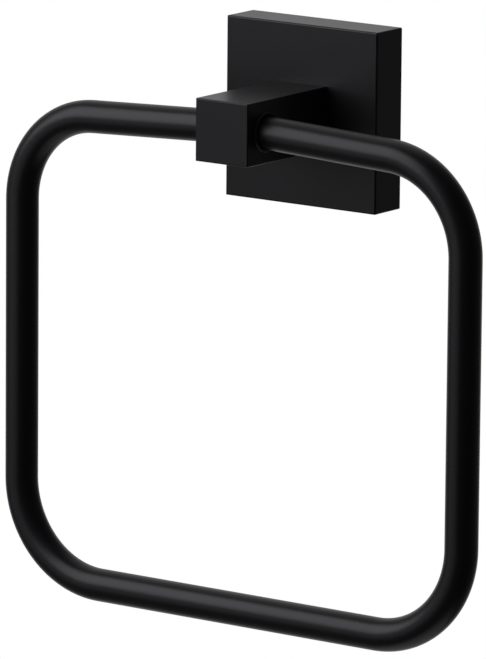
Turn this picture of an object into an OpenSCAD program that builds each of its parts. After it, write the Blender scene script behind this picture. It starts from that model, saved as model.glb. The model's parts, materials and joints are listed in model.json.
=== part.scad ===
// Towel ring on a square cover plate.
// The origin is the centre of the cover plate's back, on the wall. -Y points into the room and +Z up.

/* [Cover plate] */
// Width of the cover plate
plate_w = 55; // [45:1:90]
// Height of the cover plate
plate_h = 55; // [50:1:90]
// Distance from the wall to the front of the cover plate
plate_depth = 13; // [11:0.5:20]
// Thickness of the cover plate's front
plate_front = 2.5; // [2:0.1:4]
// Thickness of the cover plate's rim
plate_rim = 2.2; // [1.5:0.1:4]
// Radius in the four corners of the hollow
hollow_r = 2; // [0.5:0.1:4]
// Radius along the outer edges of the cover plate
plate_edge_r = 0.5; // [0.2:0.1:1.5]
// Width of the boss that takes the grub screw
boss_w = 9; // [7:0.5:14]
// Height of the boss above the rim
boss_h = 3; // [1:0.1:4]

/* [Post] */
// Width of the square post
post_w = 19; // [16:0.5:28]
// Height of the post
post_h = 19; // [16:0.5:28]
// Distance from the wall to the front of the post
post_reach = 53.5; // [46:0.5:80]
// Radius along the outer edges of the post
post_edge_r = 0.4; // [0.2:0.1:1.5]
// Distance from the front of the post back to the axis of its bores
bore_setback = 9.5; // [8.5:0.25:14]
// Thickness of the web between the two blind bores
bore_web = 3; // [2:0.25:5]
// Width of the square spigot that keeps the post from turning
spigot_w = 11; // [9:0.5:12]
// Depth of the threaded hole, from the front of the cover plate
thread_depth = 12; // [10.5:0.5:20]

/* [Ring] */
// Width of the ring between the centrelines of its legs
ring_w = 162; // [130:1:240]
// Drop from the bore axis to the centreline of the bottom bar
ring_drop = 146.25; // [110:0.25:220]
// Outer diameter of the tube
tube_d = 10; // [8:0.25:10.5]
// Wall of the tube
tube_wall = 1.2; // [0.8:0.1:2]
// Centreline radius of the two top bends
top_bend_r = 28; // [16:0.5:45]
// Centreline radius of the two bottom bends
foot_bend_r = 30; // [16:0.5:45]
// Angle by which each half of the top bar falls away from the post
droop = 2.6; // [0:0.1:4]
// Gap between the end of the tube and the web, along the tube
end_gap = 0.5; // [0.4:0.05:1]

/* [Bushes] */
// Wall of a bush
bush_wall = 0.75; // [0.5:0.05:1.5]
// Running gap round the tube in the middle of a bush
bush_gap = 0.45; // [0.4:0.05:0.8]
// How far the outer end of a bush stands proud of the post
bush_lip = 0.5; // [0.2:0.05:1]

/* [Wall bracket] */
// Thickness of the bracket's sheet
bracket_t = 1.8; // [1.2:0.1:2.5]
// Width of the bracket
bracket_w = 38; // [24:1:40]
// Inner radius of the bracket's two bends
bracket_bend_r = 1.5; // [0.5:0.1:2.5]
// Room between the edge of the bracket's flanges and the cover plate's front
flange_room = 2.5; // [1:0.1:4]
// Radius of the free corners of the bracket's flanges
flange_corner_r = 3; // [1:0.5:5]
// Width of the two slots for wall screws
wall_slot_w = 5; // [4:0.1:6]
// Length of the two slots for wall screws
wall_slot_l = 8; // [6.5:0.5:10]
// Distance between the middles of the two slots
wall_slot_spacing = 26; // [20:1:32]

/* [Fixings] */
// Thread diameter of the post screw
screw_d = 6; // [4:0.5:8]
// Length of the post screw under its head
screw_l = 14; // [12:0.5:16]
// Diameter of the post screw's head
screw_head_d = 10.5; // [8:0.1:13]
// Height of the post screw's head
screw_head_h = 3.5; // [2.5:0.1:4.5]
// Width across flats of the post screw's socket
screw_socket_af = 4; // [3:0.5:5]
// Outer diameter of the post washer
washer_d = 20; // [18:0.5:24]
// Thickness of the post washer
washer_t = 1.6; // [1:0.1:2.5]
// Thread diameter of the grub screw
grub_d = 4; // [3:0.5:5]
// Length of the grub screw
grub_l = 5; // [4:0.25:6]
// Width across flats of the grub screw's socket
grub_socket_af = 2; // [1.5:0.1:2.5]

/* [Hidden] */
$fn = 96;

// How far every cut runs past the face that it opens
overrun = 1;
// Play round the spigot, the bushes and the threads, on each side
fit_gap = 0.05;
// Play between the washer's hole and the screw
washer_play = 0.2;
// Share of a bush's wall that the rounding of its outer end takes
bush_edge_share = 0.6;
// How far the spigot stays short of the plate's inner face, so that the washer clamps the plate
spigot_relief = 0.3;
// How far the grub screw's tip stands out of the boss to bear on the bracket
grub_reach = 0.8;
// Share of a screw's length or head that its hex socket takes
socket_depth_share = 0.55;
// Width of the bevel round the head of the post screw
head_bevel = 0.8;
// Length of the grub screw's cone point
grub_point_h = 0.8;

hollow_w = plate_w - 2 * plate_rim;
hollow_h = plate_h - 2 * plate_rim;
hollow_depth = plate_depth - plate_front;

tube_r = tube_d / 2;
bush_bore_r = tube_r + bush_gap;
bush_r = bush_bore_r + bush_wall;
bore_r = bush_r + fit_gap;
bore_depth = post_reach - bore_setback;

// The tube's centreline crosses the swing axis in the middle of each bush
bush_l = (post_w - bore_web) / 2;
cross_x = post_w / 2 - bush_l / 2;
tube_end_x = bore_web / 2 + end_gap;
leg_x = ring_w / 2;
corner_z = -(leg_x - cross_x) * tan(droop);
top_run = top_bend_r * tan((90 - droop) / 2);
top_bar_l = (leg_x - tube_end_x) / cos(droop) - top_run;
bend_reach = top_bend_r + tube_d;
leg_top_z = corner_z - top_run;
leg_l = leg_top_z + ring_drop - foot_bend_r;
// The two halves of the bottom bar overlap in the middle
foot_bar_l = leg_x - foot_bend_r + overrun;

washer_back = hollow_depth - washer_t;
bracket_top_z = hollow_h / 2;
bracket_foot_z = -hollow_h / 2 + boss_h + grub_reach;
bracket_h = bracket_top_z - bracket_foot_z;
flange_depth = hollow_depth - flange_room;
grub_depth = (bracket_t + bracket_bend_r + flange_depth) / 2;

// Sets a shape drawn in X and Z, and raised along Z, on the wall so that it rises into the room
module from_wall(depth = 0) {
    translate([0, -depth, 0])
        rotate([90, 0, 0])
            children();
}

// Extrudes an outline drawn in Y and Z by a length along X, centred
module across(length) {
    rotate([90, 0, 90])
        linear_extrude(height = length, center = true)
            children();
}

// Turns a shape that is raised along Z so that it is raised along X
module along_x() {
    rotate([0, 90, 0])
        children();
}

module rounded_outline(w, h, r) {
    square([w - 2 * r, h], center = true);
    square([w, h - 2 * r], center = true);
    for (i = [-1, 1], j = [-1, 1])
        translate([i * (w / 2 - r), j * (h / 2 - r)])
            circle(r = r);
}

// An upright slot with round ends
module slot_outline(w, length) {
    square([w, length - w], center = true);
    for (end = [-1, 1])
        translate([0, end * (length - w) / 2])
            circle(d = w);
}

// A block whose long edges and front edges are rounded and whose back, at depth back, is sharp
module eased_block(w, h, back, front, r) {
    length = front - back;
    intersection() {
        from_wall(back)
            linear_extrude(height = length)
                rounded_outline(w, h, r);
        across(w)
            translate([-back - length / 2 + r, 0])
                rounded_outline(length + 2 * r, h, r);
        translate([0, -back - length / 2 + r, 0])
            linear_extrude(height = h, center = true)
                rounded_outline(w, length + 2 * r, r);
    }
}

// A hexagonal socket that sinks into a head along +Z
module hex_socket(across_flats, depth) {
    translate([0, 0, -overrun])
        cylinder(d = across_flats / cos(30), h = depth + overrun, $fn = 6);
}

// The hollow die-cast cover, open towards the wall, with a boss for the grub screw in its floor
module cover_plate() {
    color("#1d1d1f")
        difference() {
            eased_block(plate_w, plate_h, 0, plate_depth, plate_edge_r);
            difference() {
                from_wall(-overrun)
                    linear_extrude(height = hollow_depth + overrun)
                        rounded_outline(hollow_w, hollow_h, hollow_r);
                translate([-boss_w / 2, -hollow_depth - overrun, -hollow_h / 2 - overrun])
                    cube([boss_w, hollow_depth + 3 * overrun, boss_h + overrun]);
            }
            from_wall(hollow_depth - overrun)
                linear_extrude(height = plate_front + 2 * overrun)
                    square(spigot_w + 2 * fit_gap, center = true);
            translate([0, -grub_depth, -plate_h / 2 - overrun])
                cylinder(r = grub_d / 2 + fit_gap, h = plate_rim + boss_h + 2 * overrun);
        }
}

// The solid square post with its spigot, its threaded hole and the two blind bores for the bushes
module post() {
    color("#1d1d1f")
        difference() {
            union() {
                eased_block(post_w, post_h, plate_depth, post_reach, post_edge_r);
                from_wall(hollow_depth + spigot_relief)
                    linear_extrude(height = plate_front - spigot_relief + overrun)
                        square(spigot_w, center = true);
            }
            from_wall(hollow_depth + spigot_relief - overrun)
                cylinder(r = screw_d / 2 + fit_gap, h = plate_front - spigot_relief + overrun + thread_depth);
            for (side = [-1, 1])
                translate([side * (bore_web / 2 + (bush_l + overrun) / 2), -bore_depth, 0])
                    along_x()
                        cylinder(r = bore_r, h = bush_l + overrun, center = true);
        }
}

// A sleeve that lines one of the post's bores, with its rounded outer end a little proud of the post's side
module bush(side) {
    length = bush_l + bush_lip;
    edge_r = bush_wall * bush_edge_share;
    color("#242426")
        translate([0, -bore_depth, 0])
            rotate([0, 0, side < 0 ? 180 : 0])
                translate([bore_web / 2, 0, 0])
                    along_x()
                        rotate_extrude() {
                            translate([bush_bore_r, 0])
                                square([bush_wall, length - edge_r]);
                            translate([bush_bore_r, 0])
                                square([bush_wall - edge_r, length]);
                            translate([bush_r - edge_r, length - edge_r])
                                circle(r = edge_r);
                        }
}

module tube_section() {
    difference() {
        circle(r = tube_r);
        circle(r = tube_r - tube_wall);
    }
}

// A quarter bend in X and Z round its own centre, from one angle to a right angle further
module tube_bend(bend_r, start) {
    rotate([90, 0, 0])
        rotate([0, 0, start])
            rotate_extrude(angle = 90)
                translate([bend_r, 0])
                    tube_section();
}

module tube_bar(length) {
    along_x()
        linear_extrude(height = length)
            tube_section();
}

// The right half of the ring, built round the centre of its top bend, and then round that of its bottom bend
module half_ring() {
    translate([leg_x - top_bend_r, 0, leg_top_z]) {
        rotate([0, droop, 0])
            translate([-top_bar_l, 0, top_bend_r])
                tube_bar(top_bar_l);
        intersection() {
            rotate([0, droop, 0])
                tube_bend(top_bend_r, 0);
            translate([-bend_reach, -bend_reach, 0])
                cube(2 * bend_reach);
        }
        translate([top_bend_r, 0, -leg_l]) {
            linear_extrude(height = leg_l)
                tube_section();
            translate([-foot_bend_r, 0, 0]) {
                tube_bend(foot_bend_r, -90);
                translate([-foot_bar_l, 0, -foot_bend_r])
                    tube_bar(foot_bar_l);
            }
        }
    }
}

// One bent tube, hanging straight down, with its two ends in the bushes
module ring() {
    color("#1d1d1f")
        translate([0, -bore_depth, 0]) {
            half_ring();
            mirror([1, 0, 0])
                half_ring();
        }
}

// Clamps the cover plate's front against the post from inside
module post_washer() {
    color("#b9bbbe")
        from_wall(washer_back)
            difference() {
                cylinder(d = washer_d, h = washer_t);
                translate([0, 0, -overrun])
                    cylinder(r = screw_d / 2 + washer_play, h = washer_t + 2 * overrun);
            }
}

// A pan head screw with a hex socket, driven from the wall side into the post
module post_screw() {
    color("#b9bbbe")
        from_wall(washer_back - screw_head_h)
            difference() {
                union() {
                    cylinder(d1 = screw_head_d - 2 * head_bevel, d2 = screw_head_d, h = head_bevel);
                    translate([0, 0, head_bevel])
                        cylinder(d = screw_head_d, h = screw_head_h - head_bevel);
                    translate([0, 0, screw_head_h])
                        cylinder(d = screw_d, h = screw_l);
                }
                hex_socket(screw_socket_af, screw_head_h * socket_depth_share);
            }
}

// Side profile of the bracket: one sheet bent into a channel that opens into the room
module bracket_profile() {
    outer_r = bracket_bend_r + bracket_t;
    reach = flange_depth + outer_r;
    difference() {
        translate([-reach / 2, 0])
            rounded_outline(reach, bracket_h, outer_r);
        translate([-bracket_t - reach / 2, 0])
            rounded_outline(reach, bracket_h - 2 * bracket_t, bracket_bend_r);
        translate([-flange_depth - outer_r - overrun, -bracket_h / 2 - overrun])
            square([outer_r + overrun, bracket_h + 2 * overrun]);
    }
}

// Screwed to the wall through its slots. Its top flange carries the cover plate, and the grub screw bears on
// the lower one.
module wall_bracket() {
    color("#b9bbbe")
        difference() {
            translate([0, 0, (bracket_top_z + bracket_foot_z) / 2])
                intersection() {
                    across(bracket_w)
                        bracket_profile();
                    translate([0, -flange_depth / 2 + flange_corner_r])
                        linear_extrude(height = bracket_h, center = true)
                            rounded_outline(bracket_w, flange_depth + 2 * flange_corner_r, flange_corner_r);
                }
            for (side = [-1, 1])
                translate([0, 0, side * wall_slot_spacing / 2])
                    from_wall(-overrun)
                        linear_extrude(height = bracket_t + 2 * overrun)
                            slot_outline(wall_slot_w, wall_slot_l);
        }
}

// A set screw with a hex socket and a flat cone point, driven up into the boss
module grub_screw() {
    color("#8c8e92")
        translate([0, -grub_depth, bracket_foot_z - grub_l])
            difference() {
                union() {
                    cylinder(d = grub_d, h = grub_l - grub_point_h);
                    translate([0, 0, grub_l - grub_point_h])
                        cylinder(d1 = grub_d, d2 = grub_d - 2 * grub_point_h, h = grub_point_h);
                }
                hex_socket(grub_socket_af, grub_l * socket_depth_share);
            }
}

cover_plate();
post();
ring();
bush(-1);  // bush_left
bush(1);  // bush_right
post_screw();
post_washer();
wall_bracket();
grub_screw();
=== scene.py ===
import json
import math
import bmesh
import bpy
from mathutils import Matrix, Vector


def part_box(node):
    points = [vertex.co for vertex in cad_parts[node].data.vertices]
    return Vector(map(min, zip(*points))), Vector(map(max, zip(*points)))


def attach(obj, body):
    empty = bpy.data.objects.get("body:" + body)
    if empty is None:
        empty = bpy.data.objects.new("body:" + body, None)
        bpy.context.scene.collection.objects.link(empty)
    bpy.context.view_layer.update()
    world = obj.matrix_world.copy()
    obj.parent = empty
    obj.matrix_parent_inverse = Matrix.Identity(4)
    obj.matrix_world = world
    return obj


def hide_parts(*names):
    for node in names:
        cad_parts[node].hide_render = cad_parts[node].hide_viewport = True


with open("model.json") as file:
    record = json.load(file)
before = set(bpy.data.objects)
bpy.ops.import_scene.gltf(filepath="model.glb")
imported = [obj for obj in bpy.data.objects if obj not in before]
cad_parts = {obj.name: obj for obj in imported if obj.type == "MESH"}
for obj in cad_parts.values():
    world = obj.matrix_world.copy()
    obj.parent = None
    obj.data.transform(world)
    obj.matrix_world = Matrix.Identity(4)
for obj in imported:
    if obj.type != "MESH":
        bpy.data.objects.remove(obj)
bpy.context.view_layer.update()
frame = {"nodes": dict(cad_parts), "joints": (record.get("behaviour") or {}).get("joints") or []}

# Wall bracket: a channel pressed from one strip of stainless steel and screwed flat to the wall through two
# slots, so that the cover plate can hang on its top flange. The strip came off a roll with a 2B mill finish,
# and keeps the fine lines of rolling along its width.
sheet_light = "#c3c4c5"
sheet_dark = "#a3a4a6"
rolling_line_length = 0.012
rolling_line_gap = 0.00022
rolling_line_height = 0.000002


def linear(colour):
    """The linear red, green, blue and alpha of an sRGB hex colour."""
    levels = [int(colour[i:i + 2], 16) / 255 for i in (1, 3, 5)]
    return [v / 12.92 if v <= 0.04045 else ((v + 0.055) / 1.055) ** 2.4 for v in levels] + [1]


def set_inputs(node, inputs):
    """Gives each input, named by its identifier, a value or a link from another node or its output."""
    sockets = {socket.identifier: socket for socket in node.inputs}
    for name, value in inputs.items():
        if isinstance(value, bpy.types.Node):
            value = next(output for output in value.outputs if output.enabled)
        if isinstance(value, bpy.types.NodeSocket):
            node.id_data.links.new(value, sockets[name])
        else:
            sockets[name].default_value = value


def add_node(tree, kind, inputs, **settings):
    """Adds a node with its settings and its links."""
    node = tree.nodes.new("ShaderNode" + kind)
    for name, value in settings.items():
        setattr(node, name, value)
    set_inputs(node, inputs)
    return node


def new_material(name):
    """A new material, its node tree and its main shader."""
    material = bpy.data.materials.new(name)
    material.use_nodes = True
    return material, material.node_tree, material.node_tree.nodes["Principled BSDF"]


def paint(material, *nodes):
    """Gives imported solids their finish."""
    for node in nodes:
        for slot in frame["nodes"][node].material_slots:
            slot.material = material


# 2B stainless sheet: cold rolled, pickled and lightly rolled again. It gives the eye a soft grey mirror, with
# a faint grain along the rolling direction. The real lines are less than 0.1 mm apart, and are drawn coarser
# so that they show.
mill_steel, tree, main = new_material("stainless_sheet_2b")
place = add_node(tree, "TexCoord", {}).outputs["Object"]
lines = add_node(tree, "Mapping", {
    "Vector": place,
    "Scale": (1 / rolling_line_length, 1 / rolling_line_gap, 1 / rolling_line_gap),
})
rolled = add_node(tree, "TexNoise", {"Vector": lines, "Scale": 1, "Detail": 3})
set_inputs(main, {
    "Metallic": 1,
    "Base Color": add_node(tree, "Mix", {
        "Factor_Float": rolled,
        "A_Color": linear(sheet_dark),
        "B_Color": linear(sheet_light),
    }, data_type="RGBA"),
    "Roughness": add_node(tree, "MapRange", {"Value": rolled, "To Min": 0.26, "To Max": 0.42}),
    "Normal": add_node(tree, "Bump", {"Height": rolled, "Distance": rolling_line_height}),
})
paint(mill_steel, "wall_bracket")

# Post screw and washer: an M6 pan head screw with a hex socket, driven from the wall side through a plain
# washer and the cover plate's front into the post. Both are cold formed from steel wire and strip, and plated
# with zinc. The screw's thread is rolled, with a short taper at the tip.
post_screw_r = 0.003
post_screw_pitch = 0.001
post_screw_tip_r = 0.0022
post_screw_head_r = 0.00525
post_screw_head_h = 0.0035
post_screw_head_bevel = 0.0008
post_screw_socket = 0.004
thread_depth_share = 0.5413
root_flat_share = 0.25
crest_flat_share = 0.125
thread_steps = 48
run_out_turns = 2
socket_sides = 6
socket_depth_share = 0.55
merge_gap = 0.000001
sharp_angle = math.radians(35)
zinc_light = "#ccd0d2"
zinc_dark = "#a7acb1"
zinc_cloud = 0.0035


def edges_of(parts):
    """The edges among the parts that an operator made."""
    return [part for part in parts if isinstance(part, bmesh.types.BMEdge)]


def verts_of(parts):
    """The points among the parts that an operator made."""
    return [part for part in parts if isinstance(part, bmesh.types.BMVert)]


def roll_thread(mesh, outer_r, pitch, low, high):
    """Winds a metric thread's profile up round Z, trims it at two heights and gives its two open ends."""
    root_r = outer_r - thread_depth_share * pitch
    flank_share = (1 - root_flat_share - crest_flat_share) / 2
    profile = (
        (root_r, 0),
        (root_r, root_flat_share),
        (outer_r, root_flat_share + flank_share),
        (outer_r, 1 - flank_share),
        (root_r, 1),
    )
    line = [mesh.verts.new((radius, 0, low + (turn - run_out_turns) * pitch)) for radius, turn in profile]
    line += [mesh.edges.new(pair) for pair in zip(line, line[1:])]
    turns = math.ceil((high - low) / pitch) + 2 * run_out_turns
    bmesh.ops.spin(mesh, geom=line, cent=(0, 0, 0), axis=(0, 0, 1), dvec=(0, 0, pitch / thread_steps),
                   angle=turns * math.tau, steps=turns * thread_steps)
    bmesh.ops.remove_doubles(mesh, verts=mesh.verts, dist=merge_gap)
    ends = []
    for height, outwards in ((low, -1), (high, 1)):
        cut = bmesh.ops.bisect_plane(mesh, geom=mesh.verts[:] + mesh.edges[:] + mesh.faces[:],
                                     plane_co=(0, 0, height), plane_no=(0, 0, outwards), clear_outer=True)
        ends.append(edges_of(cut["geom_cut"]))
    return ends


def taper_tip(mesh, tip, tip_r):
    """Turns a screw's tip down at 45 degrees to a radius."""
    for vert in mesh.verts:
        widest = tip_r + abs(vert.co.z - tip)
        if vert.co.xy.length > widest:
            vert.co.xy = vert.co.xy.normalized() * widest


def sink_socket(mesh, across_flats, mouth, floor):
    """Makes the walls and the floor of a hex socket, and gives the edges of its mouth."""
    before = set(mesh.edges)
    bmesh.ops.create_circle(mesh, segments=socket_sides,
                            radius=across_flats / 2 / math.cos(math.pi / socket_sides),
                            matrix=Matrix.Translation((0, 0, floor)))
    hexagon = [edge for edge in mesh.edges if edge not in before]
    bmesh.ops.subdivide_edges(mesh, edges=hexagon, cuts=thread_steps // socket_sides - 1)
    hexagon = [edge for edge in mesh.edges if edge not in before]
    bmesh.ops.contextual_create(mesh, geom=hexagon)
    walls = bmesh.ops.extrude_edge_only(mesh, edges=hexagon)["geom"]
    bmesh.ops.translate(mesh, verts=verts_of(walls), vec=(0, 0, mouth - floor))
    return edges_of(walls)


def turn_step(mesh, end, radius, height):
    """Draws an open end on to a circle of another radius and height, and gives the new end."""
    drawn = bmesh.ops.extrude_edge_only(mesh, edges=end)["geom"]
    for vert in verts_of(drawn):
        vert.co.xy = vert.co.xy.normalized() * radius
        vert.co.z = height
    return edges_of(drawn)


def settle(mesh):
    """Turns the faces outwards and shades them smooth, apart from the sharp edges."""
    bmesh.ops.recalc_face_normals(mesh, faces=mesh.faces)
    for face in mesh.faces:
        face.smooth = True
    for edge in mesh.edges:
        edge.smooth = edge.calc_face_angle(0) < sharp_angle


def make_object(mesh, name, material):
    """Makes an object of a finished mesh."""
    data = bpy.data.meshes.new(name)
    mesh.to_mesh(data)
    mesh.free()
    data.materials.append(material)
    thing = bpy.data.objects.new(name, data)
    bpy.context.scene.collection.objects.link(thing)
    return thing


def add_piece(mesh, name, material, body, node):
    """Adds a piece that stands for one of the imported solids."""
    piece = make_object(mesh, name, material)
    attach(piece, body)
    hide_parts(node)


# Bright zinc plate: a thin electroplated layer with a clear, faintly blue finish. It gives the eye a pale
# cool metal with soft clouds, less glossy where the plating is thicker.
zinc, tree, main = new_material("zinc_plate_clear")
place = add_node(tree, "TexCoord", {}).outputs["Object"]
clouds = add_node(tree, "TexNoise", {"Vector": place, "Scale": 1 / zinc_cloud, "Detail": 4})
set_inputs(main, {
    "Metallic": 1,
    "Base Color": add_node(tree, "Mix", {
        "Factor_Float": clouds,
        "A_Color": linear(zinc_dark),
        "B_Color": linear(zinc_light),
    }, data_type="RGBA"),
    "Roughness": add_node(tree, "MapRange", {"Value": clouds, "To Min": 0.22, "To Max": 0.42}),
})
paint(zinc, "post_washer")

screw_low, screw_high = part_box("post_screw")
head_bottom = screw_high.y - post_screw_head_h
head_outline = (
    (post_screw_head_r, head_bottom),
    (post_screw_head_r, screw_high.y - post_screw_head_bevel),
    (post_screw_head_r - post_screw_head_bevel, screw_high.y),
)
socket_floor = screw_high.y - socket_depth_share * post_screw_head_h
screw = bmesh.new()
tip_end, head_end = roll_thread(screw, post_screw_r, post_screw_pitch, screw_low.y, head_bottom)
taper_tip(screw, screw_low.y, post_screw_tip_r)
bmesh.ops.contextual_create(screw, geom=tip_end)
for radius, height in head_outline:
    head_end = turn_step(screw, head_end, radius, height)
mouth = sink_socket(screw, post_screw_socket, screw_high.y, socket_floor)
bmesh.ops.triangle_fill(screw, edges=mouth + head_end, use_beauty=True)
bmesh.ops.rotate(screw, verts=screw.verts, matrix=Matrix.Rotation(-math.pi / 2, 3, "X"))
settle(screw)
add_piece(screw, "post_screw_threaded", zinc, "holder", "post_screw")

# Cover plate and post: a hollow square cover and a solid square post, both die cast in zinc, ground and
# sprayed with powder that is baked to a matt black coat. The cover hides the bracket, and the post is clamped
# to the cover's front from inside.
coat_light = "#101012"
coat_dark = "#0d0d0f"
coat_cloud = 0.012
coat_peel_gap = 0.0018
coat_peel_height = 0.00001
coat_grain_gap = 0.0005
coat_grain_height = 0.000008

# Matt black powder coat on smooth metal: it melts and sets as a skin about 80 micrometres thick. It gives the
# eye a soft, wide highlight with a slight orange peel and a fine grain. The real grain is about 0.1 mm, too
# fine for the render, so it is drawn five times as coarse.
coat, tree, main = new_material("powder_coat_matt_black")
place = add_node(tree, "TexCoord", {}).outputs["Object"]
clouds = add_node(tree, "TexNoise", {"Vector": place, "Scale": 1 / coat_cloud, "Detail": 2})
peel = add_node(tree, "TexNoise", {"Vector": place, "Scale": 1 / coat_peel_gap, "Detail": 1})
grain = add_node(tree, "TexNoise", {"Vector": place, "Scale": 1 / coat_grain_gap, "Detail": 2})
set_inputs(main, {
    "IOR": 1.5,
    "Specular IOR Level": 0.25,
    "Base Color": add_node(tree, "Mix", {
        "Factor_Float": clouds,
        "A_Color": linear(coat_dark),
        "B_Color": linear(coat_light),
    }, data_type="RGBA"),
    "Roughness": add_node(tree, "MapRange", {"Value": clouds, "To Min": 0.34, "To Max": 0.37}),
    "Normal": add_node(tree, "Bump", {
        "Height": grain,
        "Distance": coat_grain_height,
        "Normal": add_node(tree, "Bump", {"Height": peel, "Distance": coat_peel_height}),
    }),
})
paint(coat, "cover_plate", "post")

# Bushes: two plain sleeves moulded in black nylon and pressed into the post's blind bores, where the ring's
# ends turn in them. Each stands half a millimetre proud of the post, and its rounded lip catches the light.
nylon_light = "#1b1b1d"
nylon_dark = "#151517"
nylon_flow = 0.0025
nylon_grain_gap = 0.0004
nylon_grain_height = 0.000004

# Black nylon, moulded in a finely sparked tool: it gives the eye a slightly waxy black, a little shinier than
# the coat. The tool's grain is about 0.05 mm, and is drawn coarser so that it shows.
nylon, tree, main = new_material("nylon_moulded_black")
place = add_node(tree, "TexCoord", {}).outputs["Object"]
flow = add_node(tree, "TexNoise", {"Vector": place, "Scale": 1 / nylon_flow, "Detail": 2})
grain = add_node(tree, "TexNoise", {"Vector": place, "Scale": 1 / nylon_grain_gap, "Detail": 2})
set_inputs(main, {
    "IOR": 1.53,
    "Specular IOR Level": 0.3,
    "Base Color": add_node(tree, "Mix", {
        "Factor_Float": flow,
        "A_Color": linear(nylon_dark),
        "B_Color": linear(nylon_light),
    }, data_type="RGBA"),
    "Roughness": add_node(tree, "MapRange", {"Value": flow, "To Min": 0.38, "To Max": 0.46}),
    "Normal": add_node(tree, "Bump", {"Height": grain, "Distance": nylon_grain_height}),
})
paint(nylon, "bush_left", "bush_right")

# Ring: one steel tube, 10 mm across with a 1.2 mm wall, bent in four places until its two ends face each
# other, then coated like the post. The halves of the top bar fall away from the post a little, and the ends
# are sprung into the bushes, in which the ring swings.
tube_r = 0.005
tube_wall = 0.0012
tube_sides = 64
top_bend_r = 0.028
foot_bend_r = 0.030
bend_steps = 36
droop = math.radians(2.6)
bush_middle = 0.0055
tube_end = 0.002

ring_low, ring_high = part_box("ring")
swing_axis = Vector(frame["joints"][0]["pos_m"])
leg_x = ring_high.x - tube_r
foot_z = ring_low.z + tube_r
corner_z = swing_axis.z - (leg_x - bush_middle) * math.tan(droop)
top_run = top_bend_r * math.tan((math.pi / 2 - droop) / 2)
leg_top_z = corner_z - top_run
top_bar_l = (leg_x - tube_end) / math.cos(droop) - top_run


def run_on(mesh, end, along):
    """Draws a tube's open end on in a straight line, and gives the new end."""
    drawn = bmesh.ops.extrude_edge_only(mesh, edges=edges_of(end))["geom"]
    bmesh.ops.translate(mesh, verts=verts_of(drawn), vec=along)
    return verts_of(drawn) + edges_of(drawn)


def bend(mesh, end, centre_x, centre_z, angle):
    """Bends a tube's open end up and inwards round a centre, and gives the new end."""
    return bmesh.ops.spin(mesh, geom=end, cent=(centre_x, swing_axis.y, centre_z), axis=(0, 1, 0),
                          angle=-angle, steps=bend_steps)["geom_last"]


ring = bmesh.new()
foot_middle = Matrix.Translation((0, swing_axis.y, foot_z)) @ Matrix.Rotation(math.pi / 2, 4, "Y")
bmesh.ops.create_circle(ring, segments=tube_sides, radius=tube_r, matrix=foot_middle)
end = ring.verts[:] + ring.edges[:]
end = run_on(ring, end, (leg_x - foot_bend_r, 0, 0))
end = bend(ring, end, leg_x - foot_bend_r, foot_z + foot_bend_r, math.pi / 2)
end = run_on(ring, end, (0, 0, leg_top_z - foot_z - foot_bend_r))
end = bend(ring, end, leg_x - top_bend_r, leg_top_z, math.pi / 2 - droop)
run_on(ring, end, Vector((-math.cos(droop), 0, math.sin(droop))) * top_bar_l)
bmesh.ops.mirror(ring, geom=ring.verts[:] + ring.edges[:] + ring.faces[:], axis="X", merge_dist=merge_gap)
bmesh.ops.remove_doubles(ring, verts=ring.verts, dist=merge_gap)
bmesh.ops.recalc_face_normals(ring, faces=ring.faces)
bmesh.ops.solidify(ring, geom=ring.faces[:], thickness=tube_wall)
settle(ring)
add_piece(ring, "ring_tube", coat, "ring", "ring")

# Grub screw: an M4 stainless set screw with a hex socket and a flat cone point, driven up through the cover
# plate's lower rim until its point bears on the bracket's lower flange.
grub_r = 0.002
grub_pitch = 0.0007
grub_point_r = 0.0012
grub_socket = 0.002
grub_steel_light = "#9fa1a4"
grub_steel_dark = "#7f8185"
turning_sweep = 0.0033
turning_gap = 0.0003
turning_height = 0.0000015

# Plain stainless steel, turned and rolled: it gives the eye a darker grey metal with fine rings round the
# axis. The real rings are about 0.05 mm apart, and are drawn coarser so that they show.
turned_steel, tree, main = new_material("stainless_turned")
place = add_node(tree, "TexCoord", {}).outputs["Object"]
rings = add_node(tree, "Mapping", {
    "Vector": place,
    "Scale": (1 / turning_sweep, 1 / turning_sweep, 1 / turning_gap),
})
turned = add_node(tree, "TexNoise", {"Vector": rings, "Scale": 1, "Detail": 2})
set_inputs(main, {
    "Metallic": 1,
    "Base Color": add_node(tree, "Mix", {
        "Factor_Float": turned,
        "A_Color": linear(grub_steel_dark),
        "B_Color": linear(grub_steel_light),
    }, data_type="RGBA"),
    "Roughness": add_node(tree, "MapRange", {"Value": turned, "To Min": 0.28, "To Max": 0.40}),
    "Normal": add_node(tree, "Bump", {"Height": turned, "Distance": turning_height}),
})

grub_low, grub_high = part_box("grub_screw")
grub_l = grub_high.z - grub_low.z
grub = bmesh.new()
socket_end, point_end = roll_thread(grub, grub_r, grub_pitch, grub_low.z, grub_high.z)
taper_tip(grub, grub_high.z, grub_point_r)
bmesh.ops.contextual_create(grub, geom=point_end)
mouth = sink_socket(grub, grub_socket, grub_low.z, grub_low.z + socket_depth_share * grub_l)
bmesh.ops.triangle_fill(grub, edges=mouth + socket_end, use_beauty=True)
bmesh.ops.translate(grub, verts=grub.verts, vec=(0, (grub_low.y + grub_high.y) / 2, 0))
settle(grub)
add_piece(grub, "grub_screw_threaded", turned_steel, "holder", "grub_screw")

# Floor: a round white table far below the object, painted matt. It is outside the photograph's view, and
# keeps the object's shadow.
floor_r = 0.6
floor_z = -1.3
floor_sides = 96
floor_white = "#f4f4f3"
floor_lift = 0.75
floor_gloss = 0.4
floor_mottle = 0.05

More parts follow.
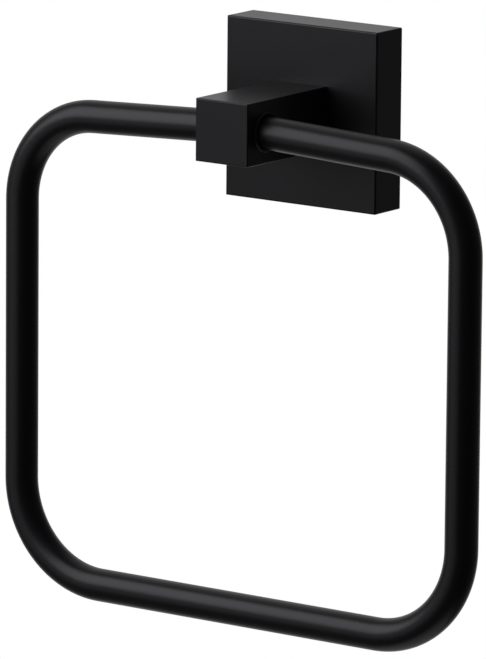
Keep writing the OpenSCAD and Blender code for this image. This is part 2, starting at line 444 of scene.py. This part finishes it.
# White emulsion paint: a flat white with a barely visible mottle. What the camera sees of it is lifted to
# white, and what shiny surfaces mirror of it is lifted part of the way.
emulsion, tree, main = new_material("emulsion_white")
place = add_node(tree, "TexCoord", {}).outputs["Object"]
mottle = add_node(tree, "TexNoise", {"Vector": place, "Scale": 1 / floor_mottle, "Detail": 2})
rays = add_node(tree, "LightPath", {})
mirrored = add_node(tree, "Math", {
    "Value": rays.outputs["Is Glossy Ray"],
    "Value_001": rays.outputs["Is Transmission Ray"],
}, operation="MAXIMUM")
set_inputs(main, {
    "Base Color": linear(floor_white),
    "Roughness": add_node(tree, "MapRange", {"Value": mottle, "To Min": 0.7, "To Max": 0.9}),
    "Emission Color": (1, 1, 1, 1),
    "Emission Strength": add_node(tree, "Math", {
        "Value": add_node(tree, "MapRange", {"Value": rays.outputs["Is Camera Ray"], "To Max": floor_lift}),
        "Value_001": add_node(tree, "MapRange", {"Value": mirrored, "To Max": floor_gloss}),
    }, operation="MAXIMUM"),
})

table = bmesh.new()
bmesh.ops.create_circle(table, segments=floor_sides, radius=floor_r, cap_ends=True,
                        matrix=Matrix.Translation((0, swing_axis.y, floor_z)))
make_object(table, "floor", emulsion)

# Backdrop: a large white sheet behind the object, under a pale patch of ceiling, in a dim room. The camera
# sees white all round, and the coat mirrors the sheet and the ceiling on the sides that face them.
backdrop_azimuth = math.radians(-145)
backdrop_elevation = math.radians(-3)
backdrop_tallness = 1.8
backdrop_rim = math.cos(math.radians(55))
backdrop_middle = math.cos(math.radians(18))
backdrop_level = 0.75
ceiling_azimuth = math.radians(-135)
ceiling_elevation = math.radians(60)
ceiling_rim = math.cos(math.radians(32))
ceiling_middle = math.cos(math.radians(12))
ceiling_level = 0.6
room_dark = 0.01
room_light = 0.15
ambient_level = "#7c7c7c"


def direction(azimuth, elevation):
    """The way out to a bearing, which is counted from the room side of the wall towards the right."""
    return Vector((
        math.sin(azimuth) * math.cos(elevation),
        -math.cos(azimuth) * math.cos(elevation),
        math.sin(elevation),
    ))


world = bpy.data.worlds.new("studio")
bpy.context.scene.world = world
world.use_nodes = True
tree = world.node_tree
place = add_node(tree, "TexCoord", {}).outputs["Generated"]
squat = add_node(tree, "VectorMath", {
    "Vector": place,
    "Vector_001": (1, 1, 1 / backdrop_tallness),
}, operation="MULTIPLY")
towards_sheet = add_node(tree, "VectorMath", {
    "Vector": add_node(tree, "VectorMath", {"Vector": squat}, operation="NORMALIZE"),
    "Vector_001": direction(backdrop_azimuth, backdrop_elevation),
}, operation="DOT_PRODUCT")
sheet = add_node(tree, "MapRange", {
    "Value": towards_sheet,
    "From Min": backdrop_rim,
    "From Max": backdrop_middle,
    "To Max": backdrop_level,
}, interpolation_type="SMOOTHSTEP")
room = add_node(tree, "MapRange", {
    "Value": towards_sheet,
    "From Min": -1,
    "To Min": room_dark,
    "To Max": room_light,
}, interpolation_type="SMOOTHSTEP")
ceiling = add_node(tree, "MapRange", {
    "Value": add_node(tree, "VectorMath", {
        "Vector": place,
        "Vector_001": direction(ceiling_azimuth, ceiling_elevation),
    }, operation="DOT_PRODUCT"),
    "From Min": ceiling_rim,
    "From Max": ceiling_middle,
    "To Max": ceiling_level,
}, interpolation_type="SMOOTHSTEP")
walls = add_node(tree, "Math", {"Value": sheet, "Value_001": room}, operation="MAXIMUM")
studio = add_node(tree, "Math", {"Value": walls, "Value_001": ceiling}, operation="MAXIMUM")
rays = add_node(tree, "LightPath", {})
on_camera = rays.outputs["Is Camera Ray"]
mirrored = add_node(tree, "Math", {
    "Value": rays.outputs["Is Glossy Ray"],
    "Value_001": rays.outputs["Is Transmission Ray"],
}, operation="MAXIMUM")
seen = add_node(tree, "Math", {"Value": on_camera, "Value_001": mirrored}, operation="MAXIMUM")
shown = add_node(tree, "Math", {"Value": on_camera, "Value_001": studio}, operation="MAXIMUM")
set_inputs(tree.nodes["World Output"], {
    "Surface": add_node(tree, "MixShader", {
        "Fac": seen,
        "Shader": add_node(tree, "Background", {"Color": linear(ambient_level)}),
        "Shader_001": add_node(tree, "Background", {"Color": (1, 1, 1, 1), "Strength": shown}),
    }),
})

# Lamps: a large softbox high on the left and a weaker one low beside it. With the room's light, a colour that
# faces the large one comes out about as it is written.
subject_middle = Vector((-0.008372, -0.030, -0.063967))
lamp_distance = 0.85
lamp_white = "#fbf9ff"
key_azimuth = math.radians(-40)
key_elevation = math.radians(31)
key_width = 0.87
key_height = 0.82
key_radiance = 3.15
low_azimuth = math.radians(-32)
low_elevation = math.radians(-13)
low_width = 1.0
low_height = 0.32
low_radiance = 0.5


def softbox(name, azimuth, elevation, width, height, radiance):
    """Hangs a softbox at a bearing, facing the object."""
    lamp = bpy.data.lights.new(name, "AREA")
    lamp.shape = "RECTANGLE"
    lamp.size = width
    lamp.size_y = height
    lamp.energy = math.pi * width * height * radiance
    lamp.color = linear(lamp_white)[:3]
    box = bpy.data.objects.new(name, lamp)
    bpy.context.scene.collection.objects.link(box)
    out = direction(azimuth, elevation)
    facing = out.to_track_quat("Z", "Y").to_matrix().to_4x4()
    box.matrix_world = Matrix.Translation(subject_middle + out * lamp_distance) @ facing


softbox("key", key_azimuth, key_elevation, key_width, key_height, key_radiance)
softbox("low", low_azimuth, low_elevation, low_width, low_height, low_radiance)

# Camera: a long lens at the photograph's viewing angle, a little above the object and to its right. It is
# rolled by half a degree, as the photograph is.
camera_distance = 2.195573
camera_azimuth = math.radians(35.61)
camera_elevation = math.radians(11.397)
camera_roll = math.radians(0.493)
camera_lens = 399.85
sensor_width = 36

lens = bpy.data.cameras.new("camera")
lens.sensor_width = sensor_width
lens.lens = camera_lens
camera = bpy.data.objects.new("camera", lens)
bpy.context.scene.collection.objects.link(camera)
turn = (Matrix.Rotation(camera_azimuth, 4, "Z") @ Matrix.Rotation(math.pi / 2 - camera_elevation, 4, "X")
        @ Matrix.Rotation(camera_roll, 4, "Z"))
camera_place = subject_middle + turn.to_3x3() @ Vector((0, 0, camera_distance))
camera.matrix_world = Matrix.Translation(camera_place) @ turn
bpy.context.scene.camera = camera

bpy.context.scene.view_settings.view_transform = "Standard"
